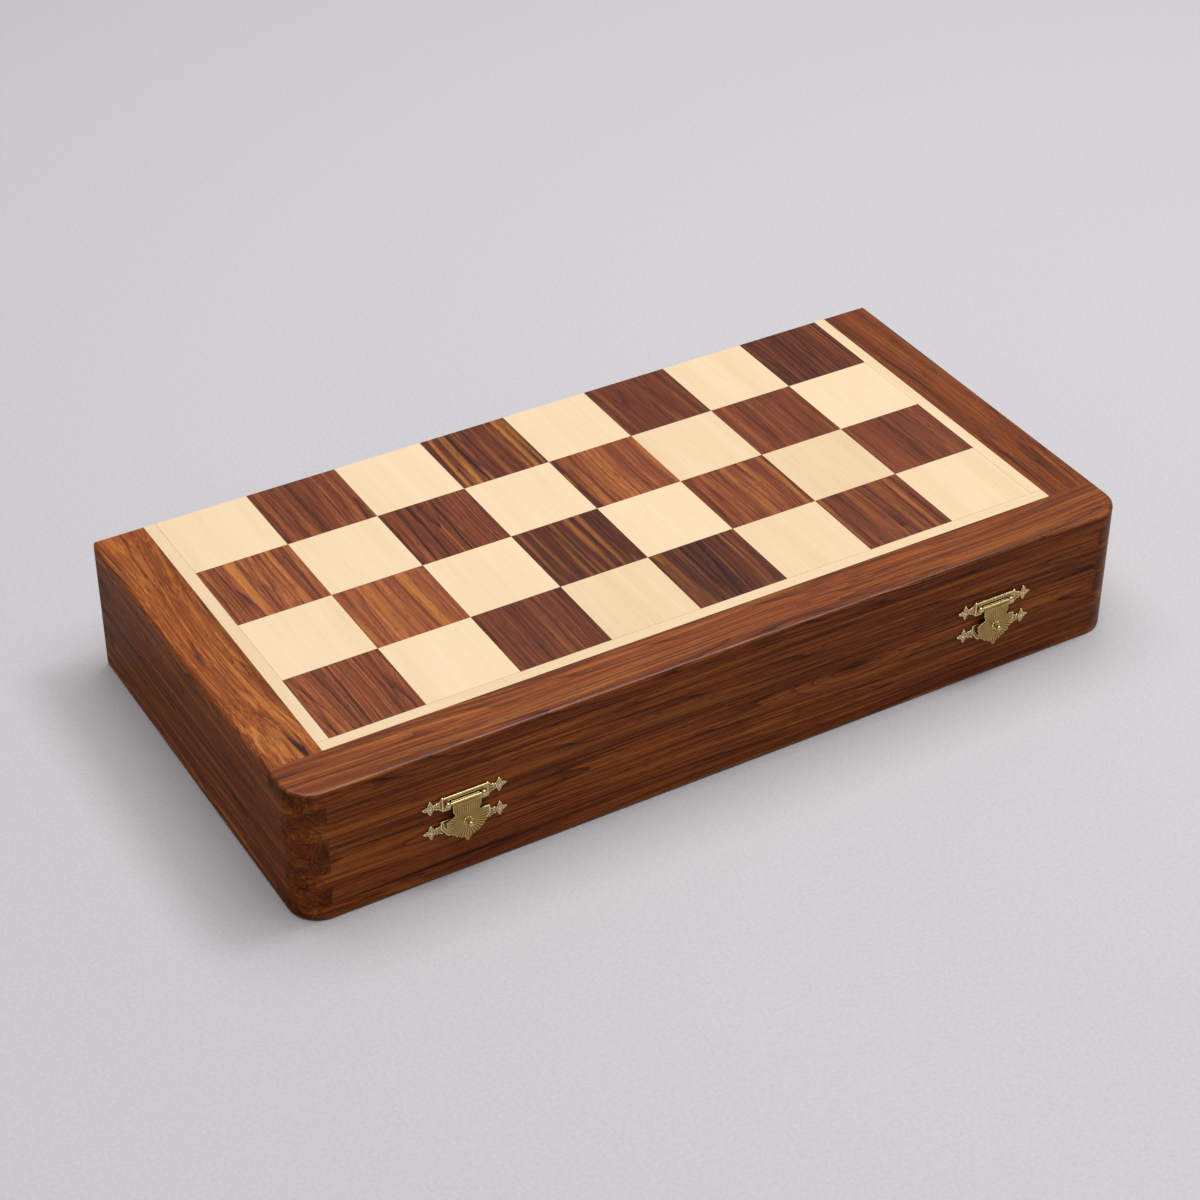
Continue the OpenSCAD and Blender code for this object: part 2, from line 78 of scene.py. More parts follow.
wall_low, wall_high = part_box("base_front_wall")
lid_wall_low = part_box("lid_front_wall")[0]
square_low, square_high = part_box("lid_dark_squares")
case_top = cad_box[1].z
front_y = wall_low.y
split_z = (wall_high.z + lid_wall_low.z) / 2
square = (square_high.x - square_low.x + GLUE_GAP) / COLUMNS
board_back = square_high.y + GLUE_GAP / 2
board_left = -COLUMNS * square / 2
print("square:", round(square / MM, 2), "mm, split at", round(split_z / MM, 2), "mm")

# %% [markdown]
# ## The camera
# The photograph was taken from the front left, 36 degrees above the table, with a short
# telephoto view. The place and the aim were worked out from the board's own squares.

# %% Place the camera
CAMERA_PLACE = Vector((-458.8, -769.6, 672.1)) * MM
CAMERA_AIM = Vector((-9.6, -5.8, 28.5)) * MM
CAMERA_ROLL = math.radians(0.21)
CAMERA_LENS = 84.85
SENSOR_WIDTH = 36.0

camera_data = bpy.data.cameras.new("camera")
camera_data.lens = CAMERA_LENS
camera_data.sensor_width = SENSOR_WIDTH
camera = bpy.data.objects.new("camera", camera_data)
bpy.context.scene.collection.objects.link(camera)
camera.location = CAMERA_PLACE
looking = (CAMERA_AIM - CAMERA_PLACE).to_track_quat("-Z", "Y")
camera.rotation_euler = (looking.to_matrix() @ Matrix.Rotation(CAMERA_ROLL, 3, "Z")).to_euler()
bpy.context.scene.camera = camera
print("camera distance:", round((CAMERA_AIM - CAMERA_PLACE).length, 3), "m")

# %% [markdown]
# ## Colours and nodes
# Colours are written as sRGB hex, the way a paint chart gives them, and one function turns
# them to the linear light that the renderer works with. One more function adds a shader
# node: its settings are keywords, and each input gets either a plain value or the output of
# another node.

# %% Colour and node helpers
MIX_A, MIX_B, MIX_OUT = 6, 7, 2


def linear(hex_colour):
    """sRGB hex to linear red, green, blue and full opacity."""
    parts = [int(hex_colour[i:i + 2], 16) / 255 for i in (1, 3, 5)]
    return tuple(c / 12.92 if c <= 0.04045 else ((c + 0.055) / 1.055) ** 2.4 for c in parts) + (1.0,)


def add(tree, kind, inputs, out=0, **settings):
    """Adds a shader node. Inputs are values or other nodes' outputs; returns one of its outputs."""
    made = tree.nodes.new("ShaderNode" + kind)
    for name, value in settings.items():
        setattr(made, name, value)
    for socket, source in inputs.items():
        if isinstance(source, bpy.types.NodeSocket):
            tree.links.new(source, made.inputs[socket])
        else:
            made.inputs[socket].default_value = source
    return made.outputs[out]


def set_stops(ramp_output, stops):
    """Gives a colour ramp its stops: (position, sRGB hex) pairs."""
    ramp = ramp_output.node.color_ramp
    while len(ramp.elements) < len(stops):
        ramp.elements.new(0.5)
    for element, (position, colour) in zip(ramp.elements, stops):
        element.position = position
        element.color = linear(colour)


def new_material(name, **sockets):
    """A material with one Principled shader, whose named sockets get plain values."""
    material = bpy.data.materials.new(name)
    material.use_nodes = True
    shader = material.node_tree.nodes["Principled BSDF"]
    for socket, value in sockets.items():
        shader.inputs[socket.replace("_", " ")].default_value = value
    return material, material.node_tree, shader


print("pure maple white in linear light:", [round(c, 3) for c in linear("#f4e2bd")[:3]])

# %% [markdown]
# ## The floor and the light
# The box stands on a plain pale floor under one large soft box straight overhead, as on a product
# photographer's table, so the board is bright and all four sides are darker. A second, small lamp
# hangs beside its middle. It adds little light, but the brass edges that run along the box mirror
# just that place to the camera, so they glint. The world gives a weak, even fill. The paper's
# own grain is far finer than a picture can show, so it is drawn as a soft speckle of a millimetre.

# %% Floor and light
FLOOR_SIZE = 12.0
SPECKLES_PER_METRE = 700.0
FILL_COLOUR = "#fffefd"
KEY_PLACE = Vector((0.2, 0.05, 1.7))
KEY_WIDTH, KEY_DEPTH = 1.8, 1.9
KEY_POWER = 36.0
GLINT_PLACE = Vector((0.77, -0.09, 1.7))
GLINT_WIDTH, GLINT_DEPTH = 0.5, 0.35
GLINT_POWER = 9.0
FILL_STRENGTH = 0.25


def soft_box(name, place, width, depth, power):
    """A rectangular lamp that shines straight down."""
    data = bpy.data.lights.new(name, "AREA")
    data.shape = "RECTANGLE"
    data.size = width
    data.size_y = depth
    data.energy = power
    lamp = bpy.data.objects.new(name, data)
    bpy.context.scene.collection.objects.link(lamp)
    lamp.location = place


bpy.ops.mesh.primitive_plane_add(size=FLOOR_SIZE, location=(0, 0, 0))
floor = bpy.context.object
floor.name = "floor"
paper, paper_tree, paper_shader = new_material("matt_backdrop_paper", Roughness=0.9,
                                               Specular_IOR_Level=0.2)
place = add(paper_tree, "TexCoord", {}, out="Object")
grain = add(paper_tree, "TexNoise", {"Vector": place, "Scale": SPECKLES_PER_METRE, "Detail": 2.0})
tint = add(paper_tree, "ValToRGB", {"Fac": grain})
set_stops(tint, [(0.3, "#b5b3b6"), (0.7, "#bcbabd")])
paper_tree.links.new(tint, paper_shader.inputs["Base Color"])
floor.data.materials.append(paper)

soft_box("soft_box", KEY_PLACE, KEY_WIDTH, KEY_DEPTH, KEY_POWER)
soft_box("glint_lamp", GLINT_PLACE, GLINT_WIDTH, GLINT_DEPTH, GLINT_POWER)

world = bpy.data.worlds.new("studio")
world.use_nodes = True
fill = world.node_tree.nodes["Background"].inputs
fill["Color"].default_value = linear(FILL_COLOUR)
fill["Strength"].default_value = FILL_STRENGTH
bpy.context.scene.world = world
bpy.context.scene.view_settings.view_transform = "Standard"
print("soft box:", KEY_WIDTH, "x", KEY_DEPTH, "m,", KEY_POWER, "W, and a lamp of", GLINT_POWER, "W")

# %% [markdown]
# ## Rosewood
# Indian rosewood under satin lacquer: a red-brown ground crossed by dark growth lines a
# millimetre or two apart, wider purple-brown and orange bands, thin golden streaks and open
# pores a few millimetres long. It could be painted on each face, but real boards are cut from
# a log, so the pattern here is a solid one: long along the grain, short across it, so that
# a sawn end shows end grain by itself. A slow noise first bends the space, and a quick weak one
# makes it waver, because no line in this wood runs straight.

# %% Shared wood space


def board_space(tree, grain_axis, log_place):
    """Object space in millimetres with the grain along X, moved to a place in the log."""
    place = add(tree, "TexCoord", {}, out="Object")
    millimetres = add(tree, "VectorMath", {0: place, "Scale": 1 / MM}, operation="SCALE")
    if grain_axis == "Y":
        parts = add(tree, "SeparateXYZ", {0: millimetres}).node.outputs
        millimetres = add(tree, "CombineXYZ", {"X": parts["Y"], "Y": parts["X"], "Z": parts["Z"]})
    return add(tree, "VectorMath", {0: millimetres, 1: log_place}, operation="ADD")


def squeezed(tree, space, length, width):
    """The space as seen by a noise whose blotches are length mm along the grain and width mm across."""
    return add(tree, "VectorMath", {0: space, 1: (1 / length, 1 / width, 1 / width)},
               operation="MULTIPLY")


def stretched(tree, space, length, width, detail=2.0, rough=0.5):
    """Noise from 0 to 1 in blotches of length by width mm."""
    return add(tree, "TexNoise", {"Vector": squeezed(tree, space, length, width), "Scale": 1.0,
                                  "Detail": detail, "Roughness": rough})


def between(tree, value, low, high, to_low=0.0, to_high=1.0):
    """Spreads the range low to high over to_low to to_high, and stops at both ends."""
    return add(tree, "MapRange", {"Value": value, "From Min": low, "From Max": high,
                                  "To Min": to_low, "To Max": to_high})


def bent(tree, space, reach, length, width):
    """Moves the space across the grain by up to about reach mm, so that the lines wander."""
    swirl = add(tree, "TexNoise", {"Vector": squeezed(tree, space, length, width), "Scale": 1.0,
                                   "Detail": 1.0}, out="Color")
    centred = add(tree, "VectorMath", {0: swirl, 1: (0.5, 0.5, 0.5)}, operation="SUBTRACT")
    across = 4 * reach
    push = add(tree, "VectorMath", {0: centred, 1: (reach, across, across)}, operation="MULTIPLY")
    return add(tree, "VectorMath", {0: space, 1: push}, operation="ADD")


def weighted(tree, terms):
    """Adds up (value, weight) pairs."""
    total = 0.0
    for value, weight in terms:
        total = add(tree, "Math", {0: value, 1: weight, 2: total}, operation="MULTIPLY_ADD")
    return total


def near(tree, space, centre, half_length, half_width):
    """One at a knot's centre, falling smoothly to nothing at its edge, in log millimetres."""
    offset = add(tree, "VectorMath", {0: space, 1: centre}, operation="SUBTRACT")
    away = add(tree, "VectorMath", {0: squeezed(tree, offset, half_length, half_width)},
               out="Value", operation="LENGTH")
    return add(tree, "MapRange", {"Value": away, "From Min": 1.0, "From Max": 0.0},
               interpolation_type="SMOOTHSTEP")


print("wood space ready")

# %% [markdown]
# The figure is built in layers, coarse to fine. A smooth field fills the log, and its contour
# lines are the growth lines: they run long where the field is steep, spread where it is flat and
# close round a knot, which is what growth rings do when a saw cuts them. Bands, fibres and
# pores are added, and a colour ramp turns the sum to wood. Golden streaks lie over it, sawn
# ends are darker because they drink more finish, and the pores dent the lacquer a little. The
# photographed box stands on a dark cloth and its sides mirror that. Here the floor is pale, so
# the shine is kept for the faces that look up, and the upright ones get almost none: SHINE holds
# one value for faces that look along X, Y and Z. Of the two colour ramps, the redder one is for
# the squares and the browner one for the boards. Real pores and fibres are 0.1 to 0.3 mm wide.
# They are drawn a little coarser, at 0.45 mm, so that they show at the photograph's distance.

# %% Rosewood figure
LINE_LENGTH, LINE_FIELD = 600.0, 16.0
LINES_IN_FIELD, KNOT_LINES = 18.0, 3.0
HAIR_LENGTH, HAIR_WIDTH = 220.0, 0.62
BAND_LENGTH, BAND_WIDTH = 420.0, 6.0
FIBRE_LENGTH, FIBRE_WIDTH = 14.0, 0.45
PORE_LENGTH, PORE_WIDTH = 5.0, 0.45
STREAK_LENGTH, STREAK_WIDTH = 150.0, 3.2
KNOT_SWELL, KNOT_DARK = (40.0, 9.0), (12.0, 3.0)
LACQUER_IOR = 1.5
LEAF_STOPS = [
    (0.0, "#1d0e0b"), (0.2, "#371a12"), (0.4, "#57291a"), (0.6, "#743b24"),
    (0.8, "#93512e"), (1.0, "#b3703d"),
]
BOARD_STOPS = [
    (0.0, "#1b0b05"), (0.2, "#36160a"), (0.4, "#582811"), (0.6, "#763a18"),
    (0.8, "#955020"), (1.0, "#b36e2e"),
]
SHINE = (0.01, 0.05, 0.3)
STREAK_GOLD = "#bd7736"
PORE_BROWN = "#1c0d09"


def rosewood_tone(tree, space, boldness, brightness, swell):
    """Light and dark of the figure: growth lines, hair lines, bands and fibres."""
    field = weighted(tree, [(stretched(tree, space, LINE_LENGTH, LINE_FIELD, 1.0), LINES_IN_FIELD),
                            (swell, KNOT_LINES)])
    rings = add(tree, "Math", {0: field}, operation="FRACT")
    line = add(tree, "Math", {0: rings, 1: 5.0}, operation="POWER")
    bands = stretched(tree, space, BAND_LENGTH, BAND_WIDTH, 2.0)
    hairs = between(tree, stretched(tree, space, HAIR_LENGTH, HAIR_WIDTH, 3.0, 0.6), 0.36, 0.64)
    figure = weighted(tree, [(line, -0.3), (bands, 0.7), (hairs, 0.3), (1.0, -0.45)])
    fibres = stretched(tree, space, FIBRE_LENGTH, FIBRE_WIDTH, 2.0, 0.6)
    shown = add(tree, "Math", {0: figure, 1: boldness}, operation="MULTIPLY")
    return weighted(tree, [(shown, 1.0), (fibres, 0.4), (brightness, 1.0), (1.0, 0.34)])


def finish_rosewood(tree, shader, space, tone, gold, grain_axis, stops):
    """Turns a tone and a golden share to colour, shine, roughness and bump on the shader."""
    ramp = add(tree, "ValToRGB", {"Fac": tone})
    set_stops(ramp, stops)
    golden = add(tree, "Mix", {0: gold, MIX_A: ramp, MIX_B: linear(STREAK_GOLD)},
                 out=MIX_OUT, data_type="RGBA")
    pores = between(tree, stretched(tree, space, PORE_LENGTH, PORE_WIDTH, 1.0), 0.62, 0.72)
    faces = add(tree, "TexCoord", {}, out="Normal")
    facing = add(tree, "VectorMath", {0: faces, 1: faces}, operation="MULTIPLY")
    cut_end = add(tree, "SeparateXYZ", {0: facing}).node.outputs[grain_axis]
    shade = weighted(tree, [(pores, 0.6), (cut_end, 0.4)])
    dark = add(tree, "Mix", {0: shade, MIX_A: golden, MIX_B: linear(PORE_BROWN)},
               out=MIX_OUT, data_type="RGBA")
    tree.links.new(dark, shader.inputs["Base Color"])
    shine = add(tree, "VectorMath", {0: facing, 1: SHINE}, out="Value", operation="DOT_PRODUCT")
    tree.links.new(shine, shader.inputs["Specular IOR Level"])
    rough = weighted(tree, [(stretched(tree, space, 40.0, 18.0), 0.12), (pores, 0.12), (1.0, 0.24)])
    tree.links.new(rough, shader.inputs["Roughness"])
    height = weighted(tree, [(pores, -1.0), (tone, 0.3)])
    bump = add(tree, "Bump", {"Strength": 0.25, "Distance": 0.06 * MM, "Height": height})
    tree.links.new(bump, shader.inputs["Normal"])


def rosewood_board(name, grain_axis, log_place, brightness=0.0, wander=3.0, boldness=1.0, gold=0.3,
                   knot=None, swirl=130.0):
    """Lacquered rosewood for one solid board, or for several sawn from the same one.

    The knot is a place in the frame, in millimetres with the grain's axis first.
    """
    material, tree, shader = new_material(name, IOR=LACQUER_IOR)
    straight = board_space(tree, grain_axis, log_place)
    space = bent(tree, bent(tree, straight, wander, swirl, 0.4 * swirl), 0.06, 14.0, 7.0)
    swell, dark_spot = 0.0, 0.0
    if knot:
        centre = Vector(knot) + Vector(log_place)
        swell = near(tree, straight, centre, *KNOT_SWELL)
        dark_spot = near(tree, straight, centre, *KNOT_DARK)
    figure = rosewood_tone(tree, space, boldness, brightness, swell)
    tone = weighted(tree, [(figure, 1.0), (dark_spot, -0.4)])
    streaks = stretched(tree, space, STREAK_LENGTH, STREAK_WIDTH, 2.0)
    golden = between(tree, streaks, 0.55, 0.7, 0.0, gold)
    finish_rosewood(tree, shader, space, tone, golden, grain_axis, BOARD_STOPS)
    return material


front_wall_wood = rosewood_board("satin_lacquered_rosewood_front_wall", "X", (40.0, 11.0, 7.0),
                                 brightness=0.04, wander=1.4, knot=(52.0, front_y / MM, 27.0),
                                 swirl=170.0)
back_wall_wood = rosewood_board("satin_lacquered_rosewood_back_wall", "X", (900.0, 150.0, 60.0))
end_wall_wood = rosewood_board("satin_lacquered_rosewood_end_walls", "Y", (300.0, 70.0, 90.0),
                               brightness=0.02, boldness=0.8)
front_rail_wood = rosewood_board("satin_lacquered_rosewood_front_rails", "X", (1500.0, 33.0, 20.0),
                                 brightness=-0.02, boldness=0.9, wander=2.5)
left_rail_wood = rosewood_board("satin_lacquered_rosewood_left_rails", "Y", (2100.0, 40.0, 10.0),
                                brightness=0.12, wander=3.5, gold=0.8, knot=(-62.0, -163.0, 57.0),
                                swirl=90.0)
right_rail_wood = rosewood_board("satin_lacquered_rosewood_right_rails", "Y", (2800.0, 90.0, 30.0),
                                 brightness=-0.03, boldness=0.7, gold=0.15)
print("rosewood boards:", len([m for m in bpy.data.materials if "rosewood" in m.name]))

# %% [markdown]
# ## The squares
# Each dark square is a small leaf of its own, cut from another place in the log, so
# neighbours differ in tone, in how golden they are and in how bold their lines are. The square
# that a point lies in is found from its place, and white noise gives that square its own
# numbers. The lots only keep these draws apart, so they are simply counted from one. Which
# square turns out dark or golden is left to chance, as it is when leaves are taken from a pile.

# %% Dark and pale squares
TONE_LOT, GOLD_LOT, BOLD_LOT, PEACH_LOT, PLACE_LOT = 1.0, 2.0, 3.0, 4.0, 5.0
LEAF_STREAK_LENGTH, LEAF_STREAK_WIDTH = 120.0, 2.6
DARK_LOG, PALE_LOG = 700.0, 500.0
MAPLE_STOPS = [(0.0, "#c6a67c"), (0.35, "#d3b893"), (0.65, "#dcc3a0"), (1.0, "#e3cdae")]


def square_number(tree, lot, out="Value"):
    """A random number, or three as a colour, the same all over one square."""
    place = add(tree, "TexCoord", {}, out="Object")
    shifted = add(tree, "VectorMath", {0: place, 1: (-board_left, -board_back, -case_top / 2)},
                  operation="ADD")
    cells = add(tree, "VectorMath", {0: shifted, 1: (1 / square, 1 / square, 1 / case_top)},
                operation="MULTIPLY")
    corner = add(tree, "VectorMath", {0: cells}, operation="FLOOR")
    numbered = add(tree, "VectorMath", {0: corner, 1: (lot, lot, lot)}, operation="ADD")
    return add(tree, "TexWhiteNoise", {"Vector": numbered}, out=out)


def rosewood_squares():
    """Lacquered rosewood leaves, each with its own place, tone, gold and boldness."""
    material, tree, shader = new_material("satin_lacquered_rosewood_squares", IOR=LACQUER_IOR)
    jump = add(tree, "VectorMath", {0: square_number(tree, PLACE_LOT, "Color"), "Scale": DARK_LOG},
               operation="SCALE")
    moved = add(tree, "VectorMath", {0: board_space(tree, "Y", (0.0, 0.0, 0.0)), 1: jump},
                operation="ADD")
    space = bent(tree, bent(tree, moved, 1.3, 90.0, 30.0), 0.08, 12.0, 6.0)
    boldness = between(tree, square_number(tree, BOLD_LOT), 0.0, 1.0, 0.4, 1.2)
    brightness = between(tree, square_number(tree, TONE_LOT), 0.0, 1.0, -0.22, 0.16)
    tone = rosewood_tone(tree, space, boldness, brightness, 0.0)
    streaks = stretched(tree, space, LEAF_STREAK_LENGTH, LEAF_STREAK_WIDTH, 2.0)
    streaks = between(tree, streaks, 0.5, 0.72, 0.0, 0.7)
    gold = add(tree, "Math", {0: streaks, 1: square_number(tree, GOLD_LOT)}, operation="MULTIPLY")
    finish_rosewood(tree, shader, space, tone, gold, "Y", LEAF_STOPS)
    return material


def maple(name, grain_axis, log_place, per_square):
    """Pale lacquered maple: nearly even, with faint fibres and short ray flecks."""
    material, tree, shader = new_material(name, IOR=LACQUER_IOR, Specular_IOR_Level=0.3)
    space = board_space(tree, grain_axis, log_place)
    lot = 0.6
    if per_square:
        jump = add(tree, "VectorMath", {0: square_number(tree, PLACE_LOT, "Color"), "Scale": PALE_LOG},
                   operation="SCALE")
        space = add(tree, "VectorMath", {0: space, 1: jump}, operation="ADD")
        lot = between(tree, square_number(tree, PEACH_LOT), 0.0, 0.3)
    space = bent(tree, space, 2.0, 90.0, 30.0)
    tone = weighted(tree, [
        (stretched(tree, space, 150.0, 9.0), 0.45), (stretched(tree, space, 60.0, 1.0, 3.0), 0.35),
        (stretched(tree, space, 3.0, 0.5), 0.2), (lot, 0.4), (1.0, -0.25),
    ])
    ramp = add(tree, "ValToRGB", {"Fac": tone})
    set_stops(ramp, MAPLE_STOPS)
    tree.links.new(ramp, shader.inputs["Base Color"])
    rough = weighted(tree, [(stretched(tree, space, 30.0, 12.0), 0.12), (1.0, 0.3)])
    tree.links.new(rough, shader.inputs["Roughness"])
    bump = add(tree, "Bump", {"Strength": 0.12, "Distance": 0.03 * MM, "Height": tone})
    tree.links.new(bump, shader.inputs["Normal"])
    return material


dark_square_wood = rosewood_squares()
pale_square_wood = maple("satin_lacquered_maple_squares", "Y", (0.0, 0.0, 0.0), True)
front_strip_wood = maple("satin_lacquered_maple_front_strips", "X", (400.0, 30.0, 0.0), False)
side_strip_wood = maple("satin_lacquered_maple_side_strips", "Y", (700.0, 60.0, 0.0), False)
print("squares:", COLUMNS * ROWS, "on each half")

# %% [markdown]
# ## The core panel
# Behind the squares lies a thin birch ply. Only its edge shows, at the back of the closed
# box and along the fold of the open board: pale and darker layers in turn, under a millimetre
# thick, because each layer's grain is turned.

# %% Birch ply
PLY_LAYER = 0.7


def birch_ply():
    """Layered birch ply, cut and lightly sanded, without lacquer."""
    material, tree, shader = new_material("sanded_birch_ply", IOR=1.5, Roughness=0.6)
    space = board_space(tree, "X", (0.0, 0.0, 0.0))
    height = add(tree, "SeparateXYZ", {0: space}).node.outputs["Z"]
    layers = add(tree, "Math", {0: height, 1: PLY_LAYER}, operation="PINGPONG")
    turned = between(tree, layers, 0.3 * PLY_LAYER, 0.6 * PLY_LAYER)
    fibres = stretched(tree, space, 60.0, 0.8, 3.0)
    tone = weighted(tree, [(turned, 0.45), (fibres, 0.7), (1.0, -0.1)])
    ramp = add(tree, "ValToRGB", {"Fac": tone})
    set_stops(ramp, [(0.0, "#8f6d45"), (0.5, "#c4a172"), (1.0, "#dcc194")])
    tree.links.new(ramp, shader.inputs["Base Color"])
    bump = add(tree, "Bump", {"Strength": 0.3, "Distance": 0.05 * MM, "Height": tone})
    tree.links.new(bump, shader.inputs["Normal"])
    return material


core_wood = birch_ply()
print("ply layers of", PLY_LAYER, "mm")

# %% [markdown]
# ## Brass
# The hinges and the clasps are pressed and cast brass, once bright and now a little dull:
# a pale gold metal with fine polishing lines and small differences in gloss. The surface's own
# pointiness lightens the colour on the edges as a painted highlight, and darkens it in the
# hollows as tarnish together with painted shade. Brass takes its colour from the metal itself,
# so the shader is fully metallic. Real polishing lines are about 0.02 mm wide; they are drawn at
# 0.12 mm, because finer ones would not show.

# %% Brass materials
POLISH_LINE = 0.12


def brass(name, line_axis, bright, dull, roughness):
    """Polished brass with fine lines along one axis and tarnish in patches."""
    material, tree, shader = new_material(name, Metallic=1.0)
    space = board_space(tree, line_axis, (0.0, 0.0, 0.0))
    lines = stretched(tree, space, 6.0, POLISH_LINE, 3.0, 0.6)
    patches = stretched(tree, space, 2.5, 2.5, 3.0)
    # Pointiness paints a highlight into the colour of the edges, and paints shade, with tarnish, into
    # the hollows.
    edges = between(tree, add(tree, "NewGeometry", {}, out="Pointiness"), 0.45, 0.55, -1.0, 1.0)
    tone = weighted(tree, [(lines, 0.4), (patches, 0.5), (edges, 1.0), (1.0, -0.1)])
    colour = add(tree, "Mix", {0: tone, MIX_A: linear(dull), MIX_B: linear(bright)},
                 out=MIX_OUT, data_type="RGBA")
    tree.links.new(colour, shader.inputs["Base Color"])
    rough = weighted(tree, [(patches, 0.16), (lines, 0.08), (1.0, roughness)])
    tree.links.new(rough, shader.inputs["Roughness"])
    bump = add(tree, "Bump", {"Strength": 0.2, "Distance": 0.01 * MM, "Height": lines})
    tree.links.new(bump, shader.inputs["Normal"])
    return material


cast_brass = brass("polished_cast_brass", "X", "#fae6b0", "#8a6430", 0.1)
brushed_brass = brass("brushed_sheet_brass", "Y", "#d8b878", "#765626", 0.22)
hinge_brass = brass("rolled_hinge_brass", "X", "#dcc382", "#9c7f47", 0.18)
print("brass finishes:", cast_brass.name, brushed_brass.name, hinge_brass.name)

# %% [markdown]
# ## Dressing the CAD pieces
# The walls, rails, squares, strips and hinges have their true shape in the frame, so they stay
# as they are and only take a material. The front walls of both trays share one material in
# one space: the box was glued up as one and sawn in two, so the grain runs on across the split.

# %% Give each CAD piece its wood or metal
FINISHES = {
    "front_wall": front_wall_wood, "back_wall": back_wall_wood,
    "left_wall": end_wall_wood, "right_wall": end_wall_wood,
    "front_rail": front_rail_wood, "left_rail": left_rail_wood, "right_rail": right_rail_wood,
    "core_panel": core_wood, "dark_squares": dark_square_wood, "light_squares": pale_square_wood,
    "front_strip": front_strip_wood, "left_strip": side_strip_wood, "right_strip": side_strip_wood,
}


def dress(piece, material):
    """Puts one material on a piece, in place of any that it came with."""
    piece.data.materials.clear()
    piece.data.materials.append(material)


for half in ("base_", "lid_"):
    for part, material in FINISHES.items():
        dress(nodes[half + part], material)
    dress(nodes[half + "hinge_screws"], hinge_brass)
    dress(nodes[half + "clasp_nails"], cast_brass)
for side in ("left_", "right_"):
    for part in ("hinge_base_leaf", "hinge_lid_leaf", "hinge_pin", "clasp_pin", "strike_stud"):
        dress(nodes[side + part], hinge_brass)
print("dressed:", 2 * len(FINISHES) + 14, "CAD pieces")

# %% [markdown]
# ## Cast clasps
# Each clasp is a small ornate casting. Its plates end in a four-pointed star round a nail, and a
# neck with hollow sides joins the star to the middle. Such a shape could be sculpted, but here it
# is put together from many small solids that overlap. A fine voxel remesh then joins them to one
# skin and softens every corner, as casting and tumbling do.

# %% A casting frame
CAST_VOXEL, KNOB_VOXEL = 0.14, 0.1
SMOOTH_TURNS = 3
ALONG_X = Matrix(((0, 0, 1, 0), (1, 0, 0, 0), (0, 1, 0, 0), (0, 0, 0, 1)))


def clasp_frame(side):
    """From millimetres in the clasp (right, up from the split, off the wood) to the box in metres."""
    low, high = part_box(side + "clasp_plate")
    return Matrix(((MM, 0, 0, (low.x + high.x) / 2), (0, 0, -MM, front_y), (0, MM, 0, split_z),
                   (0, 0, 0, 1)))


def bead(bm, at, size, turn=0.0):
    """A round or longish bead: half widths in size, turned in the plate's plane."""
    shape = Matrix.Translation(at) @ Matrix.Rotation(turn, 4, "Z") @ Matrix.Diagonal((*size, 1.0))
    bmesh.ops.create_icosphere(bm, subdivisions=3, radius=1.0, matrix=shape)


def rod(bm, start, end, radius):
    """A round rod from start to end, with round ends."""
    start, end = Vector(start), Vector(end)
    turn = (end - start).to_track_quat("Z", "Y").to_matrix().to_4x4()
    bmesh.ops.create_cone(bm, cap_ends=True, segments=12, radius1=radius, radius2=radius,
                          depth=(end - start).length,
                          matrix=Matrix.Translation((start + end) / 2) @ turn)
    for place in (start, end):
        bead(bm, place, (radius, radius, radius))


def rim(bm, path, height, radius):
    """A raised round edge along a path in the plate's plane."""
    for (x0, y0), (x1, y1) in zip(path, path[1:]):
        rod(bm, (x0, y0, height), (x1, y1, height), radius)


def slab(bm, outline, low, high, turn=Matrix()):
    """A flat plate with the given outline, from low to high off the wood."""
    rings = [[bm.verts.new(turn @ Vector((x, y, z))) for x, y in outline] for z in (low, high)]
    bm.faces.new(list(reversed(rings[0])))
    bm.faces.new(rings[1])
    for i in range(len(outline)):
        k = (i + 1) % len(outline)
        bm.faces.new((rings[0][i], rings[0][k], rings[1][k], rings[1][i]))


def arc(centre, radius, start, stop, steps):
    """Points of an arc, in degrees."""
    angles = np.radians(np.linspace(start, stop, steps + 1))
    return [(centre[0] + radius * math.cos(a), centre[1] + radius * math.sin(a)) for a in angles]


def flatten_back(bm):
    """Cuts what lies behind the wood's face flat, so that the casting sits on the wood."""
    for vertex in bm.verts:
        vertex.co.z = max(vertex.co.z, 0.0)


def cast(name, bm, voxel):
    """Joins overlapping solids to one smooth skin, still in the clasp's frame."""
    mesh = bpy.data.meshes.new(name)
    bm.to_mesh(mesh)
    bm.free()
    raw = bpy.data.objects.new(name + "_raw", mesh)
    bpy.context.scene.collection.objects.link(raw)
    skin = raw.modifiers.new("skin", "REMESH")
    skin.mode = "VOXEL"
    skin.voxel_size = voxel
    soften = raw.modifiers.new("soften", "SMOOTH")
    soften.iterations = SMOOTH_TURNS
    ready = bpy.data.meshes.new_from_object(raw.evaluated_get(bpy.context.evaluated_depsgraph_get()))
    bpy.data.objects.remove(raw)
    ready.shade_smooth()
    piece = bpy.data.objects.new(name, ready)
    bpy.context.scene.collection.objects.link(piece)
    return piece


print("clasp middles at x =", [round(clasp_frame(s)[0][3] / MM, 1) for s in ("left_", "right_")])

# %% [markdown]
# Both plates of a clasp share the same ends. The star's edge is one formula: its radius swells
# to the full reach four times round. The neck's half height falls along a hollow curve, from the
# shoulder of the middle to the star, and a raised rim follows its upper and lower edge.

